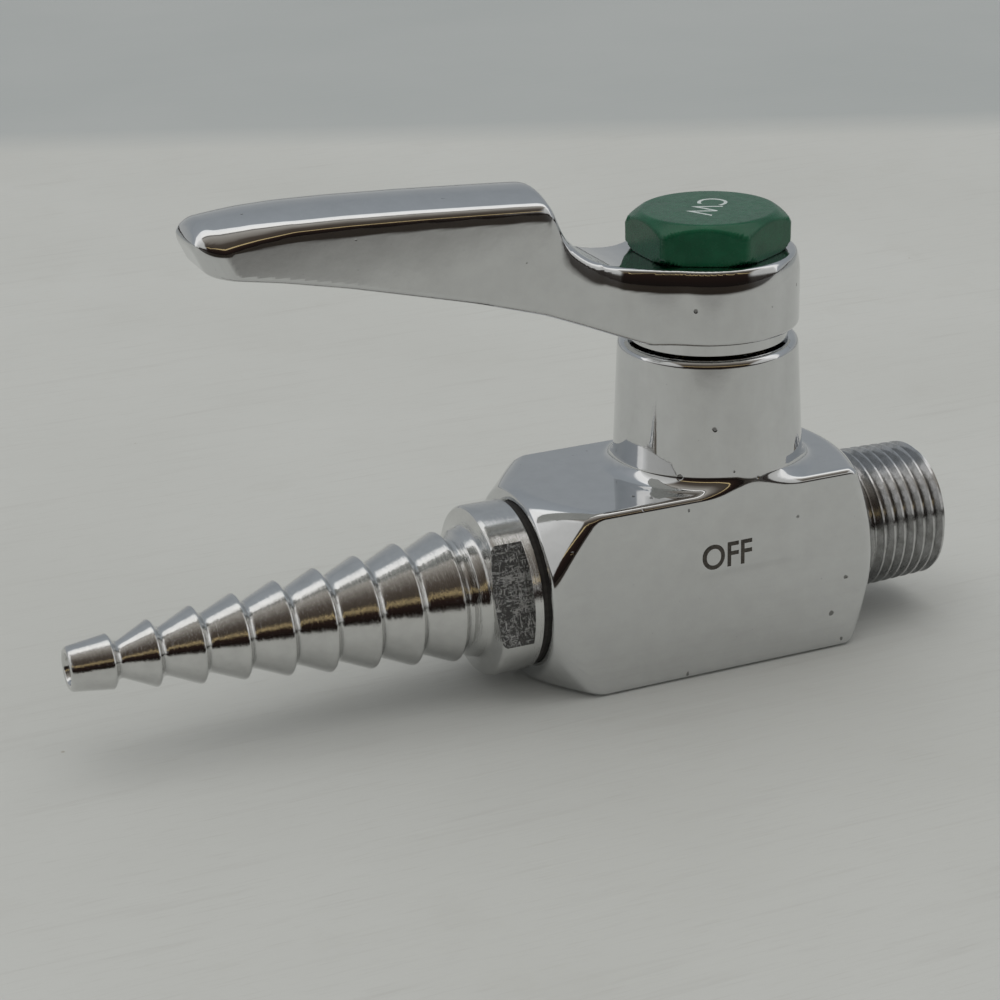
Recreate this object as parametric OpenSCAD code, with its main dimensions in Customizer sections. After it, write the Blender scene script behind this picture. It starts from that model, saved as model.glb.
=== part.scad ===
// Quarter-turn laboratory ball valve with a serrated hose nozzle.
// The flow runs along X, from the inlet thread at +X to the nozzle at -X.
// The stem rises along Z, and the valve rests on the flat underside of its body.

/* [Body] */
// Height of the body, from the table to the flat top
body_h = 23; // [21:0.5:28]
// Width of the body, front to back
body_w = 23; // [22:0.5:29]
// Radius along the four long edges
body_edge_r = 0.8; // [0.3:0.1:1.5]
// Stem axis to the end face at the nozzle
nozzle_face_x = 25.6; // [24:0.2:32]
// Radius of the end face at the nozzle
nozzle_face_r = 11.4; // [10.8:0.1:11.8]
// Slope of the turned cone at the nozzle end, radius over length
nozzle_cone_slope = 0.87; // [0.7:0.01:1.1]
// Stem axis to the end face at the inlet
inlet_face_x = 17.6; // [16.5:0.2:22]
// Radius of the end face at the inlet
inlet_face_r = 9.2; // [8.9:0.1:10]
// Slope of the turned cone at the inlet end, radius over length
inlet_cone_slope = 1.92; // [1.4:0.01:2.6]

/* [Inlet thread] */
// Outside diameter of the male pipe thread
inlet_thread_d = 17.1; // [16.2:0.1:17.6]
// Length of the male pipe thread
inlet_thread_l = 11.7; // [9:0.1:16]
// Bore of the inlet
inlet_bore_d = 10; // [8:0.2:11.6]

/* [Neck] */
// Diameter of the neck where it meets the body
neck_base_d = 23.3; // [22:0.1:23.6]
// Diameter of the neck at its top
neck_top_d = 21.4; // [20.6:0.1:22.6]
// Height of the neck above the body
neck_h = 15.5; // [14:0.5:22]
// Radius of the fillet between neck and body
neck_fillet_r = 2; // [0.5:0.1:2.4]
// Diameter of the packing chamber in the neck
packing_chamber_d = 14; // [13:0.2:15]

/* [Ball and seats] */
// Diameter of the ball
ball_d = 15; // [14:0.1:15.4]
// Bore through the ball
ball_bore_d = 8; // [6:0.2:8.6]
// Radial play around the ball, in its chamber
ball_play = 0.5; // [0.4:0.05:0.7]
// Width of a seat ring, along the flow
seat_w = 4; // [3.4:0.1:4.4]
// Gap between the ball and a seat
seat_gap = 0.05; // [0.02:0.01:0.1]
// Thickness of the elastic ring behind the inlet seat
backing_ring_w = 1.1; // [0.8:0.1:1.6]

/* [Nozzle] */
// Number of serrations
barb_count = 9; // [5:1:10]
// Distance from one serration to the next
barb_pitch = 5.03; // [4.4:0.01:5.6]
// Radius of the crest nearest the tip
first_barb_r = 3.2; // [3:0.05:3.6]
// Radius of the crest nearest the collar
last_barb_r = 7.75; // [6.5:0.05:8.2]
// Depth of the groove behind a crest
barb_depth = 1.05; // [0.6:0.05:1.1]
// Length of the plain tip in front of the first crest
tip_l = 5.0; // [4:0.1:6]
// Outside radius of the tip
tip_r = 2.6; // [2.5:0.05:2.9]
// Bore at the tip
tip_bore_d = 3.2; // [2.4:0.1:3.4]
// Wider bore at the collar
nozzle_bore_d = 7; // [5:0.2:8]
// Depth of the wider bore from the spigot's end
nozzle_bore_depth = 34; // [20:1:40]
// Diameter of the collar
collar_d = 20.2; // [19.6:0.1:21.4]
// Length of the collar
collar_l = 4.8; // [4:0.1:6]
// Distance across the two milled flats
collar_flats = 16.4; // [15.8:0.1:18]
// Full round flange left behind the flats
collar_flange_w = 1.25; // [0.8:0.05:2]
// Angle of the flats about the flow axis, as the nozzle is screwed home
collar_turn = 15; // [0:1:90]
// Length of the threaded spigot inside the body
spigot_l = 10.5; // [7:0.1:11]
// Outside diameter of the spigot and of the seat retainer
spigot_d = 17.1; // [17:0.1:17.5]
// Thickness of the ring that seals the collar
nozzle_gasket_w = 0.5; // [0.3:0.1:1]

/* [Stem] */
// Diameter of the stem
stem_d = 8; // [7.2:0.1:8.2]
// Width across the square that carries the lever
stem_square = 5.6; // [5:0.1:5.7]
// Thickness of the tang in the ball's slot
tang_w = 3.5; // [3:0.1:4]
// Diameter of the stem's shoulder
shoulder_d = 13.2; // [12:0.1:13.4]
// Thickness of the shoulder
shoulder_h = 1.6; // [1.2:0.1:2]
// Radial clearance of the stem and of loose rings in their bores
running_gap = 0.05; // [0.02:0.01:0.1]
// Thickness of each packing ring
packing_w = 1.1; // [0.9:0.05:1.3]
// Thickness of the threaded gland nut
gland_nut_h = 2.9; // [2:0.1:3.2]

/* [Quarter-turn stop] */
// Angle that the lever turns through
turn_angle = 90; // [60:1:90]
// Diameter of the stop pin
stop_pin_d = 2; // [1.5:0.1:2.2]
// Thickness of the stop collar
stop_collar_h = 1.2; // [1:0.1:1.3]
// Outside diameter of the stop collar
stop_collar_d = 19; // [18:0.1:20]

/* [Lever] */
// Gap between the neck and the lever's hub
hub_gap = 1.7; // [1.5:0.1:2.4]
// Diameter of the hub
hub_d = 21.6; // [21:0.1:23]
// Height of the hub
hub_h = 8.9; // [8:0.1:11]
// Rounding of the hub's upper edge
hub_edge_r = 1.1; // [0.5:0.1:1.4]
// Stem axis to the tip of the lever
lever_reach = 65.4; // [55:0.2:80]
// Width of the lever's arm
lever_w = 11.4; // [9:0.2:13]
// Thickness of the hub's floor, through which the square passes
hub_floor_h = 4.1; // [3.5:0.1:4.4]
// Diameter of the recess in the hub
hub_recess_d = 13.6; // [12:0.1:14.4]

/* [Index button] */
// Width of the six-sided button, across its corners
button_d = 19.7; // [18:0.1:20.4]
// Height of the button above the hub
button_h = 4.8; // [4:0.1:6]
// Height of the turned bevel on the button
button_bevel_h = 1.4; // [0.8:0.1:1.8]
// Diameter of the button's flat top
button_top_d = 15.9; // [14:0.1:16.4]

/* [Hidden] */
$fn = 96;
// Overlap of a cutting tool past the face that it cuts
cut = 1;

// Height of the flow axis
flow_z = body_h / 2;
body_corner_r = norm([body_w / 2, body_h / 2]);
ball_r = ball_d / 2;
chamber_r = ball_r + ball_play;
spigot_bore_r = spigot_d / 2 + running_gap;
// Seats: each one starts where its ring clears the ball's bore
seat_inner_r = ball_bore_d / 2 + 0.3;
seat_near_x = ball_r - 3.1;
seat_far_x = seat_near_x + seat_w;
inlet_shoulder_x = seat_far_x + backing_ring_w;
retainer_w = 5;
retainer_far_x = seat_far_x + retainer_w;
spanner_slot_w = 2;
spanner_slot_depth = 1.4;
o_ring_r = 0.75;

// Nozzle stations along -X
collar_back_x = nozzle_face_x + nozzle_gasket_w;
collar_front_x = collar_back_x + collar_l;
shoulder_bevel_l = 0.7;
shank_r = last_barb_r - 0.05;
shank_l = 2.2;
last_barb_x = collar_front_x + shoulder_bevel_l + shank_l + 1.4;
first_barb_x = last_barb_x + (barb_count - 1) * barb_pitch;
barb_step_l = 0.5;
groove_floor_l = 0.4;
tip_x = first_barb_x + tip_l;
spigot_end_x = collar_back_x - spigot_l;
gasket_r = collar_d / 2 - 0.35;

// Stations up the stem
stem_r = stem_d / 2;
stem_bore_r = stem_r + running_gap;
neck_top_z = body_h + neck_h;
neck_rim_r = 0.8;
chamber_top_z = flow_z + chamber_r;
packing_floor_z = neck_top_z - 9.5;
thrust_washer_h = 0.8;
shoulder_z = packing_floor_z + thrust_washer_h + running_gap;
packing_base_z = shoulder_z + shoulder_h + running_gap;
packing_base_h = 0.7;
lower_packing_z = packing_base_z + packing_base_h;
upper_packing_z = lower_packing_z + packing_w;
follower_z = upper_packing_z + packing_w;
follower_h = 0.8;
gland_nut_z = follower_z + follower_h;
packing_r = packing_chamber_d / 2 - running_gap;
ring_hole_r = stem_r + 0.03;
lower_o_ring_z = chamber_top_z + 2.6;
upper_o_ring_z = packing_floor_z - 2.6;
hub_z = neck_top_z + hub_gap;
hub_top_z = hub_z + hub_h;
hub_floor_z = hub_z + hub_floor_h;
square_z = hub_z - stop_collar_h - 0.2;
stem_top_z = hub_floor_z - 0.3;
tang_z = flow_z + ball_r - 2.5;
slot_w = tang_w + 2 * running_gap;

// Quarter-turn stop: the pin stands behind the stem
stop_pin_ring_r = (packing_chamber_d / 2 + neck_top_d / 2 - neck_rim_r) / 2;
stop_pin_angle = 90;
stop_pin_depth = 3;
stop_pin_half_angle = asin((stop_pin_d / 2) / stop_pin_ring_r);
stop_play_angle = 2.1;

// Screw, washer and button
screw_r = 2;
screw_gap = 0.05;
screw_l = 10;
screw_head_r = 3.6;
screw_head_h = 2.2;
screw_socket_w = 2.9;
lock_washer_h = 0.7;
lock_washer_r = 4.2;
spigot_play = 0.1;
button_spigot_l = 3.3;
button_wall = 1.9;
button_cap_h = 1.8;

// Place of the bend where the arm climbs from the hub
arm_shoulder_x = -0.35 * lever_reach;

// Point on a cubic curve with four control points
function curve_point(p, t) =
    pow(1 - t, 3) * p[0] + 3 * t * pow(1 - t, 2) * p[1]
    + 3 * t * t * (1 - t) * p[2] + t * t * t * p[3];

// Points along that curve, without its last one
function curve(p, steps) = [for (i = [0 : steps - 1]) curve_point(p, i / steps)];

// Points along an arc in a plane
function arc(centre, r, from, to, steps) =
    [for (i = [0 : steps]) centre + r * [cos(from + (to - from) * i / steps), sin(from + (to - from) * i / steps)]];

// Turned shape along the flow axis: the outline holds [distance along +X, radius]
module turned_x(outline) {
    translate([0, 0, flow_z])
        rotate([0, 90, 0])
            rotate_extrude()
                polygon([for (p = outline) [p[1], p[0]]]);
}

// Plain cylinder along the flow axis
module bar_x(from, to, r) {
    translate([from, 0, flow_z])
        rotate([0, 90, 0])
            cylinder(h = to - from, r = r);
}

// Flat ring around the stem
module stem_ring(z, h, inner_r, outer_r) {
    translate([0, 0, z])
        rotate_extrude()
            translate([inner_r, 0])
                square([outer_r - inner_r, h]);
}

// Round ring of elastic cord around the stem
module stem_cord_ring(z, ring_r, cord_r) {
    translate([0, 0, z])
        rotate_extrude()
            translate([ring_r, 0])
                circle(r = cord_r);
}

// Square bar with rounded long edges, from which the body is turned
module body_bar(from, to) {
    flat_w = body_w - 2 * body_edge_r;
    flat_h = body_h - 2 * body_edge_r;
    translate([from, 0, flow_z])
        rotate([90, 0, 90])
            linear_extrude(to - from)
                union() {
                    square([body_w, flat_h], center = true);
                    square([flat_w, body_h], center = true);
                    for (y = [-1, 1], z = [-1, 1])
                        translate([y * flat_w / 2, z * flat_h / 2])
                            circle(r = body_edge_r, $fn = 48);
                }
}

// The two turned cones that meet the square bar
module body_cones() {
    turned_x([
        [-nozzle_face_x, 0],
        [-nozzle_face_x, nozzle_face_r],
        [-nozzle_face_x + (body_corner_r + 1 - nozzle_face_r) / nozzle_cone_slope, body_corner_r + 1],
        [inlet_face_x - (body_corner_r + 1 - inlet_face_r) / inlet_cone_slope, body_corner_r + 1],
        [inlet_face_x, inlet_face_r],
        [inlet_face_x, 0]
    ]);
}

// Round neck with its fillet at the foot and its rounded rim
module neck_blank() {
    base_r = neck_base_d / 2;
    top_r = neck_top_d / 2;
    intersection() {
        rotate_extrude()
            polygon(concat(
                [[0, flow_z], [base_r + neck_fillet_r, flow_z]],
                arc([base_r + neck_fillet_r, body_h + neck_fillet_r], neck_fillet_r, 270, 180, 8),
                arc([top_r - neck_rim_r, neck_top_z - neck_rim_r], neck_rim_r, 4, 90, 6),
                [[0, neck_top_z]]
            ));
        translate([-body_h, -body_w / 2, flow_z])
            cube([2 * body_h, body_w, neck_top_z]);
    }
}

// Forged and turned body with its neck, its inlet thread and all of its bores
module body() {
    thread_end_x = inlet_face_x + inlet_thread_l;
    thread_r = inlet_thread_d / 2;
    thread_bevel = 0.7;
    color("silver")
        difference() {
            union() {
                intersection() {
                    body_bar(-nozzle_face_x, inlet_face_x);
                    body_cones();
                }
                neck_blank();
                turned_x([
                    [inlet_face_x - cut, 0],
                    [inlet_face_x - cut, thread_r],
                    [thread_end_x - thread_bevel, thread_r],
                    [thread_end_x, thread_r - thread_bevel],
                    [thread_end_x, 0]
                ]);
            }
            bar_x(-nozzle_face_x - cut, -seat_far_x, spigot_bore_r);
            bar_x(-seat_far_x - cut, inlet_shoulder_x, chamber_r);
            bar_x(inlet_shoulder_x - cut, thread_end_x + cut, inlet_bore_d / 2);
            translate([0, 0, flow_z])
                cylinder(h = neck_top_z, r = stem_bore_r);
            translate([0, 0, packing_floor_z])
                cylinder(h = neck_top_z, r = packing_chamber_d / 2);
            rotate([0, 0, stop_pin_angle])
                translate([stop_pin_ring_r, 0, neck_top_z - stop_pin_depth])
                    cylinder(h = neck_h, r = stop_pin_d / 2);
        }
}

// Crest radius of one serration, counted from the tip
function barb_r(i) = first_barb_r + (last_barb_r - first_barb_r) * i / (barb_count - 1);

// Place of one crest, counted from the tip
function barb_x(i) = -first_barb_x + i * barb_pitch;

// Serrated nozzle with its collar, its two flats and its threaded spigot
module hose_nozzle() {
    collar_r = collar_d / 2;
    tip_round = 0.45;
    spigot_r = spigot_d / 2;
    color("gainsboro")
        difference() {
            turned_x(concat(
                [[-tip_x, 0], [-tip_x, tip_r - tip_round], [-tip_x + tip_round, tip_r]],
                [for (i = [0 : barb_count - 1]) each [
                    [barb_x(i), barb_r(i)],
                    [barb_x(i) + barb_step_l, barb_r(i) - barb_depth],
                    [barb_x(i) + barb_step_l + groove_floor_l, barb_r(i) - barb_depth]
                ]],
                [
                    [-collar_front_x - shoulder_bevel_l, shank_r],
                    [-collar_front_x, collar_r],
                    [-collar_back_x, collar_r],
                    [-collar_back_x, spigot_r],
                    [-spigot_end_x, spigot_r],
                    [-spigot_end_x, 0]
                ]
            ));
            bar_x(-tip_x - cut, -spigot_end_x, tip_bore_d / 2);
            bar_x(-spigot_end_x - nozzle_bore_depth, -spigot_end_x + cut, nozzle_bore_d / 2);
            collar_flat_cuts();
        }
}

// The two flats for a spanner, milled across the front of the collar
module collar_flat_cuts() {
    flat_from_x = -collar_front_x - shoulder_bevel_l;
    flat_to_x = -collar_back_x + collar_flange_w;
    translate([0, 0, flow_z])
        rotate([-collar_turn, 0, 0])
            for (side = [-1, 1])
                translate([flat_from_x, side == 1 ? collar_flats / 2 : -collar_flats / 2 - collar_d, -collar_d])
                    cube([flat_to_x - flat_from_x - 2 * collar_flange_w, collar_d, 2 * collar_d]);
}

// Flat ring that seals the nozzle's collar on the body
module nozzle_gasket() {
    color("dimgray")
        turned_x([
            [-collar_back_x, spigot_bore_r], [-collar_back_x, gasket_r],
            [-nozzle_face_x, gasket_r], [-nozzle_face_x, spigot_bore_r]
        ]);
}

// Threaded ring that holds the outlet seat, with its groove and two spanner slots
module seat_retainer() {
    outer_r = spigot_d / 2;
    groove_r = spigot_bore_r - 2 * o_ring_r;
    groove_mid_x = (retainer_far_x + seat_far_x) / 2;
    color("darkkhaki")
        difference() {
            bar_x(-retainer_far_x, -seat_far_x, outer_r);
            bar_x(-retainer_far_x - cut, -seat_far_x + cut, seat_inner_r);
            difference() {
                bar_x(-groove_mid_x - 1, -groove_mid_x + 1, outer_r + cut);
                bar_x(-groove_mid_x - 2, -groove_mid_x + 2, groove_r);
            }
            translate([-retainer_far_x + spanner_slot_depth - cut, 0, flow_z])
                cube([2 * cut, 2 * outer_r + cut, spanner_slot_w], center = true);
        }
}

// Elastic ring in the retainer's groove
module retainer_o_ring() {
    color("black")
        translate([-(retainer_far_x + seat_far_x) / 2, 0, flow_z])
            rotate([0, 90, 0])
                rotate_extrude()
                    translate([spigot_bore_r - o_ring_r - 0.02, 0])
                        circle(r = o_ring_r - 0.02);
}

// Seat ring with its hollow face towards the ball
module seat(side) {
    color("ivory")
        difference() {
            bar_x(
                side == 1 ? seat_near_x : -seat_far_x,
                side == 1 ? seat_far_x : -seat_near_x,
                chamber_r - running_gap
            );
            bar_x(-seat_far_x - cut, seat_far_x + cut, seat_inner_r);
            translate([0, 0, flow_z])
                sphere(r = ball_r + seat_gap);
        }
}

module outlet_seat() { seat(-1); }

module inlet_seat() { seat(1); }

// Elastic ring that presses the inlet seat on the ball
module inlet_backing_ring() {
    color("black")
        turned_x([
            [seat_far_x, inlet_bore_d / 2 + 0.2], [seat_far_x, chamber_r - running_gap],
            [inlet_shoulder_x, chamber_r - running_gap], [inlet_shoulder_x, inlet_bore_d / 2 + 0.2]
        ]);
}

// Pin in the neck's top that ends the quarter turn
module stop_pin() {
    color("gray")
        rotate([0, 0, stop_pin_angle])
            translate([stop_pin_ring_r, 0, neck_top_z - stop_pin_depth])
                cylinder(h = stop_pin_depth + hub_gap - 0.3, r = stop_pin_d / 2);
}

// Slippery washer under the stem's shoulder
module thrust_washer() {
    color("ivory")
        stem_ring(packing_floor_z, thrust_washer_h, ring_hole_r, packing_r);
}

module packing_base_ring() {
    color("ivory")
        stem_ring(packing_base_z, packing_base_h, ring_hole_r, packing_r);
}

module lower_packing_ring() {
    color("white")
        stem_ring(lower_packing_z, packing_w, ring_hole_r, packing_r);
}

module upper_packing_ring() {
    color("white")
        stem_ring(upper_packing_z, packing_w, ring_hole_r, packing_r);
}

// Metal ring between the packing and the gland nut
module gland_follower() {
    color("goldenrod")
        stem_ring(follower_z, follower_h, stem_bore_r, packing_r);
}

// Threaded ring that presses the packing, with two spanner slots
module gland_nut() {
    color("goldenrod")
        difference() {
            stem_ring(gland_nut_z, gland_nut_h, stem_bore_r, packing_r);
            translate([0, 0, gland_nut_z + gland_nut_h])
                cube([2 * packing_r + cut, spanner_slot_w, 2 * spanner_slot_depth], center = true);
        }
}

// Bored ball with the slot for the stem's tang
module ball() {
    color("lightgray")
        difference() {
            translate([0, 0, flow_z])
                sphere(r = ball_r);
            bar_x(-ball_d, ball_d, ball_bore_d / 2);
            translate([-slot_w / 2, -ball_d, tang_z - 0.1])
                cube([slot_w, 2 * ball_d, ball_d]);
        }
}

// Stem with tang, shoulder, two ring grooves, the lever's square and the screw's hole
module stem() {
    groove_r = stem_bore_r - 2 * o_ring_r;
    color("gold")
        difference() {
            union() {
                intersection() {
                    translate([-tang_w / 2, -stem_d, tang_z])
                        cube([tang_w, 2 * stem_d, chamber_top_z - tang_z + cut]);
                    cylinder(h = neck_top_z, r = stem_r);
                }
                translate([0, 0, chamber_top_z])
                    cylinder(h = square_z - chamber_top_z, r = stem_r);
                translate([0, 0, shoulder_z])
                    cylinder(h = shoulder_h, r = shoulder_d / 2);
                intersection() {
                    translate([-stem_square / 2, -stem_square / 2, square_z - cut])
                        cube([stem_square, stem_square, stem_top_z - square_z + cut]);
                    cylinder(h = stem_top_z + cut, r = stem_r);
                }
            }
            for (z = [lower_o_ring_z, upper_o_ring_z])
                stem_ring(z - o_ring_r - 0.1, 2 * o_ring_r + 0.2, groove_r, stem_d);
            translate([0, 0, stem_top_z - screw_l])
                cylinder(h = screw_l + cut, r = screw_r + screw_gap);
        }
}

module lower_stem_o_ring() {
    color("black")
        stem_cord_ring(lower_o_ring_z, stem_bore_r - o_ring_r - 0.02, o_ring_r - 0.02);
}

module upper_stem_o_ring() {
    color("black")
        stem_cord_ring(upper_o_ring_z, stem_bore_r - o_ring_r - 0.02, o_ring_r - 0.02);
}

// Disc on the stem's square, cut away so that it turns until it meets the stop pin
module stop_collar() {
    notch_r = stop_pin_ring_r - stop_pin_d / 2 - 0.35;
    notch_from = stop_pin_angle - turn_angle - stop_pin_half_angle - stop_play_angle;
    notch_to = stop_pin_angle + stop_pin_half_angle + stop_play_angle;
    color("dimgray")
        translate([0, 0, square_z])
            difference() {
                cylinder(h = stop_collar_h, r = stop_collar_d / 2);
                stem_square_cut(-cut, stop_collar_h + 2 * cut);
                translate([0, 0, -cut])
                    rotate([0, 0, notch_from])
                        rotate_extrude(angle = notch_to - notch_from)
                            translate([notch_r, 0])
                                square([stop_collar_d, stop_collar_h + 2 * cut]);
            }
}

// Square hole that fits the stem
module stem_square_cut(z, h) {
    hole_w = stem_square + 2 * running_gap;
    translate([-hole_w / 2, -hole_w / 2, z])
        cube([hole_w, hole_w, h]);
}

// Side outline of the lever's arm, seen from the front
function arm_outline() =
    let (tip = -lever_reach, foot = hub_z, bend = arm_shoulder_x, saddle = hub_h + 0.3)
    concat(
        // Underside, from the hub to the tip
        curve([[-4, foot + 0.1], [-17, foot + 0.8], [bend - 3, foot + 8.2], [tip + 20.8, foot + 11.3]], 10),
        curve([[tip + 20.8, foot + 11.3], [tip + 14, foot + 12.9], [tip + 7, foot + 14.3],
            [tip + 1.9, foot + 15.2]], 6),
        // Rounded tip
        curve([[tip + 1.9, foot + 15.2], [tip + 0.9, foot + 15.8], [tip + 0.2, foot + 17],
            [tip, foot + 18.2]], 5),
        curve([[tip, foot + 18.2], [tip - 0.1, foot + 19.6], [tip + 2, foot + 20.5],
            [tip + 6, foot + 20.9]], 6),
        // Back of the arm, from the tip to its shoulder
        curve([[tip + 6, foot + 20.9], [tip + 15, foot + 21.9], [tip + 26, foot + 20.9],
            [bend - 3.1, foot + 19.7]], 8),
        curve([[bend - 3.1, foot + 19.7], [bend - 1.3, foot + 19.6], [bend - 0.3, foot + 18.8],
            [bend + 0.1, foot + 17.4]], 5),
        // Steep front of the arm and the saddle beside the hub
        curve([[bend + 0.1, foot + 17.4], [bend + 1.5, foot + 12.4], [bend + 4.4, foot + 9.6],
            [-9.4, foot + saddle]], 10),
        [[-9.4, foot + saddle], [-9.4, foot + hub_h - 0.5], [-4, foot + hub_h - 0.5]]
    );

// Section of the arm across its length: the back is crowned and its two edges are rounded
function arm_section() =
    let (foot = hub_z, side = lever_w / 2 + 0.4)
    concat(
        [[-hub_d, foot - cut], [hub_d, foot - cut], [hub_d, foot + 17.6]],
        curve([[side, foot + 17.6], [side, foot + 19.9], [side - 1.6, foot + 20.9], [0, foot + 21.5]], 10),
        reversed([for (p = curve([[side, foot + 17.6], [side, foot + 19.9], [side - 1.6, foot + 20.9],
            [0, foot + 21.5]], 10)) [-p[0], p[1]]]),
        [[-hub_d, foot + 17.6]]
    );

// Plan outline of one side of the arm, from the hub to the tip
function arm_side(side) =
    let (waist_x = -15.5, waist = lever_w / 2, tip = -lever_reach)
    concat(
        curve([[-3, side * 10.2], [-7.5, side * 9.4], [-9.5, side * waist], [waist_x, side * waist]], 8),
        curve([[waist_x, side * waist], [-30, side * waist], [-45, side * (waist + 0.3)],
            [tip + 9, side * (waist - 0.2)]], 6),
        curve([[tip + 9, side * (waist - 0.2)], [tip + 3, side * (waist - 0.5)],
            [tip, side * (waist - 2.4)], [tip, side * 1.6]], 6),
        [[tip, side * 1.6]]
    );

// Reversed copy of a list of points
function reversed(points) = [for (i = [len(points) - 1 : -1 : 0]) points[i]];

// Cast lever: round hub, waisted arm, square hole and recess for the screw and the button
module lever() {
    hub_r = hub_d / 2;
    lower_edge_r = 0.5;
    color("silver")
        difference() {
            union() {
                rotate_extrude()
                    polygon(concat(
                        [[0, hub_z], [hub_r - lower_edge_r, hub_z], [hub_r, hub_z + lower_edge_r]],
                        arc([hub_r - hub_edge_r, hub_top_z - hub_edge_r], hub_edge_r, 0, 90, 6),
                        [[0, hub_top_z]]
                    ));
                intersection() {
                    rotate([90, 0, 0])
                        linear_extrude(2 * hub_d, center = true)
                            polygon(arm_outline());
                    translate([0, 0, hub_z])
                        linear_extrude(3 * hub_h)
                            polygon(concat(arm_side(1), reversed(arm_side(-1))));
                    translate([-lever_reach - cut, 0, 0])
                        rotate([90, 0, 90])
                            linear_extrude(lever_reach)
                                polygon(arm_section());
                }
            }
            stem_square_cut(hub_z - cut, hub_h);
            translate([0, 0, hub_floor_z])
                cylinder(h = hub_h, r = hub_recess_d / 2);
        }
}

// Split spring washer under the screw's head
module lock_washer() {
    color("gray")
        difference() {
            stem_ring(hub_floor_z, lock_washer_h, screw_r + 0.2, lock_washer_r);
            translate([0, -0.4, hub_floor_z - cut])
                cube([lock_washer_r + cut, 0.8, lock_washer_h + 2 * cut]);
        }
}

// Screw with a six-sided socket that holds the lever down
module lever_screw() {
    head_z = hub_floor_z + lock_washer_h;
    color("gray")
        difference() {
            union() {
                translate([0, 0, stem_top_z - screw_l + cut])
                    cylinder(h = head_z - stem_top_z + screw_l - cut, r = screw_r);
                translate([0, 0, head_z])
                    cylinder(h = screw_head_h, r = screw_head_r);
            }
            translate([0, 0, head_z + screw_head_h - 1.4])
                cylinder(h = 2, r = screw_socket_w / 2 / cos(30), $fn = 6);
        }
}

// Six-sided coloured button, hollow underneath, screwed into the hub
module index_button() {
    corner_r = button_d / 2;
    top_z = hub_top_z + button_h;
    spigot_r = hub_recess_d / 2 - spigot_play;
    hollow_r = spigot_r - button_wall;
    color("darkgreen")
        difference() {
            union() {
                intersection() {
                    translate([0, 0, hub_top_z])
                        rotate([0, 0, 30])
                            cylinder(h = button_h, r = corner_r, $fn = 6);
                    rotate_extrude()
                        polygon([
                            [0, hub_top_z], [corner_r, hub_top_z], [corner_r, top_z - button_bevel_h],
                            [button_top_d / 2, top_z], [0, top_z]
                        ]);
                }
                translate([0, 0, hub_top_z - button_spigot_l])
                    cylinder(h = button_spigot_l + cut, r = spigot_r);
            }
            translate([0, 0, hub_top_z - button_spigot_l - cut])
                cylinder(h = button_spigot_l + button_h - button_cap_h + cut, r = hollow_r);
        }
}

body();
hose_nozzle();
nozzle_gasket();
seat_retainer();
retainer_o_ring();
outlet_seat();
inlet_seat();
inlet_backing_ring();
stop_pin();
thrust_washer();
packing_base_ring();
lower_packing_ring();
upper_packing_ring();
gland_follower();
gland_nut();
ball();
stem();
lower_stem_o_ring();
upper_stem_o_ring();
stop_collar();
lever();
lock_washer();
lever_screw();
index_button();
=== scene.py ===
import math

import bmesh
import bpy
import numpy as np
from mathutils import Matrix, Vector


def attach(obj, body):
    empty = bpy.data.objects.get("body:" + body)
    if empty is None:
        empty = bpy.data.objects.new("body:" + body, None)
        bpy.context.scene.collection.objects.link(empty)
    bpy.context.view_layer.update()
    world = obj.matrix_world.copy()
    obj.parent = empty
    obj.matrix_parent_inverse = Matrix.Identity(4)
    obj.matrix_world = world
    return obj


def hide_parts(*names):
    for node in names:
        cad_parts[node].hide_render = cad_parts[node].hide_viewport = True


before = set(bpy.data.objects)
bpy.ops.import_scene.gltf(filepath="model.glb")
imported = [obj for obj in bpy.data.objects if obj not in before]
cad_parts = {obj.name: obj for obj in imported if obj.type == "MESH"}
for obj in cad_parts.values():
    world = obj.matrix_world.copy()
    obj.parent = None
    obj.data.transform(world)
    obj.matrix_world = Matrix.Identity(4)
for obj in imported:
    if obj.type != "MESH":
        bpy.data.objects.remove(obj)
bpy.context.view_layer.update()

# Sizes are in millimetres and become metres when a piece is finished
MM = 0.001

# Body
AXIS_Z = 11.5
HALF_W = 11.5
BODY_TOP = 23.0
NOZZLE_FACE_X, NOZZLE_FACE_R, NOZZLE_CONE = -25.6, 11.4, 0.87
INLET_FACE_X, INLET_FACE_R, INLET_CONE = 17.6, 9.2, 1.92
NECK_FOOT_R, NECK_TOP_R, NECK_TOP_Z = 11.42, 10.7, 38.45

# Inlet thread
THREAD_END_X, THREAD_R, THREAD_PITCH, THREAD_DEPTH = 29.3, 8.55, 1.411, 0.95
INLET_BORE_R = 5.0

# Lever
HUB_R, HUB_LOW, HUB_TOP = 10.76, 40.25, 49.1
ARM_HALF_W, ARM_TIP_X, ARM_FILLET = 5.65, -63.1, 12.0

# Button
BUTTON_LOW, BUTTON_TOP, BUTTON_CORNER_R, BUTTON_TOP_R = 49.1, 53.88, 9.83, 7.9

CAMERA_PLACE = (-131.37, -249.73, 127.76)
CAMERA_AZIMUTH, CAMERA_ELEVATION, CAMERA_ROLL = -22.6426, 21.2988, -1.6470
CAMERA_LENS = 89.53


# Shape rules
def round_cut(a, b, r):
    """Distance to what lies in both shapes, with their common edge rounded."""
    u, v = np.maximum(a + r, 0), np.maximum(b + r, 0)
    return np.minimum(np.maximum(a, b), -r) + np.hypot(u, v)


def round_join(a, b, r):
    """Distance to what lies in either shape, with a fillet between them."""
    u, v = np.maximum(r - a, 0), np.maximum(r - b, 0)
    return np.maximum(np.minimum(a, b), r) - np.hypot(u, v)


def bored(solid, hole, edge=0.15):
    return round_cut(solid, -hole, edge)


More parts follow.
